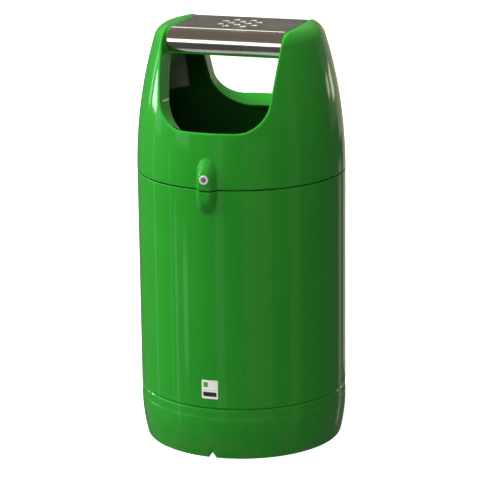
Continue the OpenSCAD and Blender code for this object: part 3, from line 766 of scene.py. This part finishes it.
cutter = punches()
plate = applied(plate_mesh(),
                ("BOOLEAN", {"object": cutter, "operation": "DIFFERENCE", "solver": "EXACT"}),
                ("BEVEL", {"width": 0.6 * MM, "segments": 2, "limit_method": "ANGLE",
                           "angle_limit": math.radians(40), "harden_normals": False}))
bpy.data.objects.remove(cutter)
plate = piece("stubber_plate_skin", smoothed(plate), "hood", STAINLESS, ("stubber_plate",))
evened(plate, 30)

# A thin rim inside each hole, painted pale as a painted highlight of light caught on the holes' far walls
rim_out, rim_low, rim_top = HOLE_R - 0.05, PLATE_TOP - 6.5, PLATE_TOP - 1.6
rim_profile = ([(rim_out, rim_low), (rim_out, rim_low + 1.0), (HOLE_R - 0.9, rim_low + 1.2)]
               + bend((HOLE_R - 1.4, rim_top), 0.5, 0, 180, 9) + [(HOLE_R - 1.9, rim_low)])
rims = copies("stub_hole_rims", rim_profile, 40,
              [Matrix.Translation((x * MM, y * MM, 0)) for x, y in stub_hole_places()])
evened(piece("stub_hole_rims", rims, "hood", PAINTED_HIGHLIGHT_PALE))


# ---------- lock and label ----------

def turned_on_y(name, profile, z):
    """A profile of (radius, y) turned about a line along Y, at a height."""
    mesh = turned(name, [(r, -y) for r, y in profile], full_turn(64))
    mesh.transform(Matrix.Translation((0, 0, z * MM)) @ Matrix.Rotation(math.radians(90), 4, "X"))
    return tidied(mesh)


face_y, plug_r, barrel_r = -(BIN_R + LUG_OUT), 7.05, 11.0
housing_profile = (
    [(plug_r, face_y - 2.2), (plug_r + 0.35, face_y - 2.6)]
    + bend((LOCK_R - 1.9, face_y - 1.1), 1.9, 250, 360, 12)
    + [(LOCK_R, face_y - 0.6), (LOCK_R, face_y),
       (barrel_r, face_y + 0.2), (barrel_r, face_y + 37), (plug_r, face_y + 38)])
bezel = turned_on_y("lock_bezel", housing_profile, LOCK_Z)
evened(piece("lock_bezel", bezel, "hood", SATIN, ("lock_housing",)))


def label_mesh():
    """A label bent round the body, with rounded corners and a thin edge."""
    outline = []
    for side, end, start in ((1, 1, 0), (-1, 1, 90), (-1, -1, 180), (1, -1, 270)):
        centre = side * (LABEL_HALF_W - LABEL_CORNER), LABEL_Z + end * (LABEL_HALF_H - LABEL_CORNER)
        outline += bend(centre, LABEL_CORNER, start, start + 90, 7)
    face_r, edge = BIN_R + LABEL_T, 0.15
    work = bmesh.new()

    def spot(s, z, r):
        return work.verts.new((r * math.sin(s / BIN_R) * MM, -r * math.cos(s / BIN_R) * MM, z * MM))

    loops = []
    for inset, r in ((0, BIN_R + 0.02), (0, face_r - edge), (edge, face_r)):
        narrow, short = 1 - inset / LABEL_HALF_W, 1 - inset / LABEL_HALF_H
        loops.append([spot(s * narrow, LABEL_Z + (z - LABEL_Z) * short, r) for s, z in outline])
    for low, high in zip(loops, loops[1:]):
        for i in range(len(low)):
            j = (i + 1) % len(low)
            work.faces.new((low[i], low[j], high[j], high[i]))

    # The face, in upright strips narrow enough to follow the body
    half = len(outline) // 2
    upper, lower = (sorted(side, key=lambda v: v.co.x) for side in (loops[-1][:half], loops[-1][half:]))
    for (a, b), (c, d) in zip(zip(upper, lower), zip(upper[1:], lower[1:])):
        strips = max(1, round(abs(c.co.x - a.co.x) / (2.5 * MM)))
        rail = [(a, b)]
        for k in range(1, strips):
            between = (p.co.lerp(q.co, k / strips) / MM for p, q in ((a, c), (b, d)))
            rail.append(tuple(spot(math.asin(v.x / face_r) * BIN_R, v.z, face_r) for v in between))
        rail.append((c, d))
        for (p, q), (u, v) in zip(rail, rail[1:]):
            work.faces.new((p, q, v, u))
    bmesh.ops.recalc_face_normals(work, faces=work.faces)
    return smoothed(meshed("body_label", work))


evened(piece("body_label", label_mesh(), "bin_body", LABEL, ("label_plate",)))


# ---------- finishes of the CAD parts that are shown as they are ----------

FINISHES = {
    ZINC: ("floor_bolts", "floor_nuts", "seat_ring_screws", "keeper_pin", "keeper_screws",
           "body_hinge_bolts", "body_hinge_nuts", "hinge_pin", "hood_hinge_bolts", "hood_hinge_nuts",
           "plate_studs", "wing_nuts", "lock_nut", "lock_cam", "cam_nut",
           "handle_eyes", "eye_rivets", "left_handle", "right_handle"),
    STAINLESS: ("body_hinge_leaf", "hood_hinge_leaf"),
    BLACK: ("seat_ring",),
    RUBBER: ("rim_buffers",),
    CAST_ZINC: ("keeper_block",),
    PLUG: ("lock_plug",),
    GALVANISED: ("liner_tub", "liner_rim", "ash_tray"),
    CONCRETE: ("ballast_slab",),
}
for material, names in FINISHES.items():
    for name in names:
        shown = nodes[name]
        shown.data.materials.clear()
        shown.data.materials.append(material)


# ---------- studio ----------

def card(name, size, centre, aim, material, seen=False):
    """A flat card of the studio, turned to face a point."""
    work = bmesh.new()
    w, h = size[0] / 2, size[1] / 2
    work.faces.new([work.verts.new(p) for p in ((-w, -h, 0), (w, -h, 0), (w, h, 0), (-w, h, 0))])
    made = placed(name, meshed(name, work))
    made.location = centre
    made.rotation_euler = (Vector(aim) - Vector(centre)).to_track_quat("Z", "Y").to_euler()
    made.data.materials.append(material)
    made.visible_camera = seen
    return made


def glow(name, colour):
    """A plain glowing material for a card."""
    material = bpy.data.materials.new(name)
    material.use_nodes = True
    shader = next(n for n in material.node_tree.nodes if n.type == "BSDF_PRINCIPLED")
    shader.inputs["Base Color"].default_value = (0, 0, 0, 1)
    shader.inputs["Emission Color"].default_value = (*colour, 1)
    shader.inputs["Emission Strength"].default_value = 1.0
    return material


def soft_light(name, size, centre, aim, power, colour=(1, 1, 1)):
    """An area light that the camera doesn't see, turned to face a point."""
    lamp = bpy.data.lights.new(name, "AREA")
    lamp.shape, lamp.size, lamp.size_y = "RECTANGLE", size[0], size[1]
    lamp.energy, lamp.color = power, colour
    made = placed(name, lamp)
    made.location = centre
    made.rotation_euler = (Vector(aim) - Vector(centre)).to_track_quat("-Z", "Y").to_euler()
    made.visible_camera = False
    return made


CAMERA_TURN = math.radians(18.92)
VIEW = Vector((math.sin(CAMERA_TURN), -math.cos(CAMERA_TURN), 0))
RIGHT = Vector((math.cos(CAMERA_TURN), math.sin(CAMERA_TURN), 0))
MIDDLE = Vector((0, 0, 0.6))


def around(turn, distance, height):
    """A place round the bin: turn is in degrees from the camera's side, positive to its right."""
    t = math.radians(turn)
    return (VIEW * math.cos(t) + RIGHT * math.sin(t)) * distance + Vector((0, 0, height))


def floor_build(w):
    """White ground, bright enough to run into the background."""
    grain = w.noise(3.0, 4.0)
    return {"Base Color": grain.mix((0.90, 0.90, 0.90), (0.86, 0.86, 0.86)),
            "Roughness": grain * 0.1 + 0.7,
            "Emission Color": (1, 1, 1), "Emission Strength": 0.92}


white = finish("studio_floor", floor_build)
ground = card("studio_floor", (60, 60), (0, 0, 0), (0, 0, 1), white, seen=True)
ground.visible_glossy = ground.visible_diffuse = ground.visible_shadow = False
for name, size, turn, distance, height, power in (
        ("left_wall", (5.0, 4.2), -98, 5.5, 4.3, 625),
        ("front_fill", (3.0, 2.4), -18, 5.0, 2.2, 104),
        ("top_light", (2.4, 2.4), -100, 0.7, 3.7, 78)):
    lamp = soft_light(name, size, around(turn, distance, height), MIDDLE, power)
    lamp.visible_glossy = False

# What the gloss mirrors, far off. Each card has its middle turn, its width, its low and high elevation,
# all in degrees, and its colour. The floor hides nothing from them, so some lie below it.
FAR, CARD_EYE_H = 20.0, 0.8
for name, turn, width, low, high, colour in (
        ("left_sky", -98, 62, 6, 40, (0.85, 1.0, 1.12)),
        ("left_lamp", -117, 11, -2.5, 3, (8.5, 9.0, 9.0)),
        ("left_post", -129.5, 3, -4, 5, (2.6, 2.9, 3.0)),
        ("left_haze", -106, 13, -5, 6, (0.75, 0.85, 0.9)),
        ("near_post", -78.5, 2.6, -25, -14.5, (0.85, 1.05, 1.15)),
        ("near_band", -66, 5, -19.5, -15.5, (1.1, 1.2, 1.25)),
        ("near_slit", -85.5, 1.6, -22, -6, (0.55, 0.66, 0.72)),
        ("left_slit", -112, 3, -21, -6, (0.50, 0.58, 0.62)),
        ("near_sky", -68, 18, -4, 8, (0.9, 1.0, 1.1)),
        ("front_post", -25, 10, -22, 4, (0.42, 0.40, 0.36)),
        ("front_wall", 17, 30, -24, 0, (0.30, 0.27, 0.22)),
        ("right_post", 59.5, 13, -26, 22, (0.30, 0.27, 0.23)),
        ("right_lamp", 136.5, 8, -4.6, -1, (3.0, 2.8, 2.5)),
        ("right_lamp_top", 127, 9, -2.4, 0.5, (2.9, 2.7, 2.4)),
        ("right_haze", 129, 20, -7, 7, (0.30, 0.28, 0.22)),
        ("back_haze", 153, 28, -10, 9, (0.52, 0.48, 0.38)),
        ("right_trunk", 138.5, 9, -27, -12, (0.46, 0.46, 0.30)),
        ("right_sand", 165, 28, -20, -10, (0.55, 0.54, 0.40))):
    rise = [FAR * math.tan(math.radians(e)) for e in (low, high)]
    centre = around(turn, FAR, CARD_EYE_H + sum(rise) / 2)
    size = (2 * FAR * math.tan(math.radians(width / 2)), rise[1] - rise[0])
    sheet = card(name, size, centre, (0, 0, centre.z), glow(name, colour))
    sheet.visible_diffuse = sheet.visible_shadow = False

# Lights that only the steel plate takes
plate_only = bpy.data.collections.new("plate_only")
plate_only.objects.link(bpy.data.objects["stubber_plate_skin"])
for name, size, turn, distance, height, power, colour in (
        ("nose_card", (3.0, 1.75), -38, 3.6, 1.66, 58, (1, 1, 1)),
        ("crease_card", (2.5, 0.9), 180, 3.0, 2.72, 30, (1, 0.97, 0.93)),
        ("lip_card", (1.2, 0.8), -47, 1.2, -0.18, 2.6, (0.88, 0.98, 1.0))):
    centre = around(turn, distance, height)
    lamp = soft_light(name, size, centre, Vector((0, 0, centre.z)), power, colour)
    lamp.light_linking.receiver_collection = plate_only

# Dim air all round: grey below the horizon and warm grey above
world = bpy.data.worlds.new("studio_air")
bpy.context.scene.world = world
world.use_nodes = True
air = Wire(world.node_tree)
way = air.node("ShaderNodeSeparateXYZ", None, {0: air.node("ShaderNodeTexCoord", output=0)}, output=2)
tone = way.between(-0.10, 0.50).mix((0.135, 0.137, 0.13), (0.32, 0.29, 0.255))
air.join(world.node_tree.nodes["Background"].inputs["Color"], tone)
bpy.context.scene.view_settings.view_transform = "Standard"

DISTANCE, EYE_H, SENSOR_W, LENS = 6.16, 2.1935, 36.0, 176.475
PITCH, YAW, ROLL = (math.radians(a) for a in (15.09, -0.06, -0.70))
eye = bpy.data.cameras.new("front_camera")
eye.sensor_width, eye.lens = SENSOR_W, LENS
camera = placed("front_camera", eye)
camera.location = VIEW * DISTANCE + Vector((0, 0, EYE_H))
turn, tilt = Matrix.Rotation(CAMERA_TURN - YAW, 3, "Z"), Matrix.Rotation(math.pi / 2 - PITCH, 3, "X")
camera.rotation_euler = (turn @ tilt @ Matrix.Rotation(ROLL, 3, "Z")).to_euler()
bpy.context.scene.camera = camera
